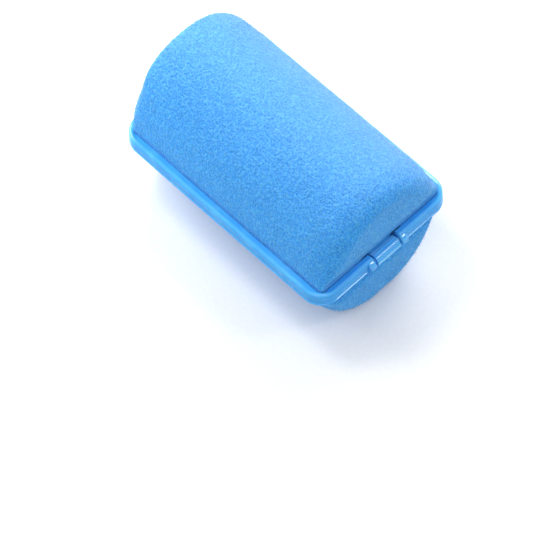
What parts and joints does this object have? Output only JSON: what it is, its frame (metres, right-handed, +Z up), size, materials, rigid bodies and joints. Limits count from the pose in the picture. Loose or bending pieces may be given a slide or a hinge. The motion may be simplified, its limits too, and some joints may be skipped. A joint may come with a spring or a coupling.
{
  "type": "sponge hair roller",
  "caption": "Sponge hair roller: oval foam cylinder on a flat plastic spine, gripped by a hinged rectangular clamp loop with a round finger tab.",
  "frame": {"origin": "centre of the bounding box on the flat underside that the foam stands on", "axes": "+X along the roller from the finger tab to the hinge, +Y across it, +Z up from the surface it stands on; the closed clamp loop lies level"},
  "size_m": [0.0804, 0.045, 0.045],
  "materials": {
    "spine_plastic": "satin",
    "foam": "matte",
    "loop_plastic": "satin"
  },
  "bodies": {
    "core": {"spine": "spine_plastic", "foam_roll": "foam"},
    "loop": {"clamp_loop": "loop_plastic"}
  },
  "joints": [
    {"name": "clamp", "type": "hinge", "parent": "core", "child": "loop", "pos_m": [0.0382, 0, 0.0219], "axis": [0, 1, 0], "range_deg": [0, 160], "deforming": ["foam_roll"]}
  ]
}
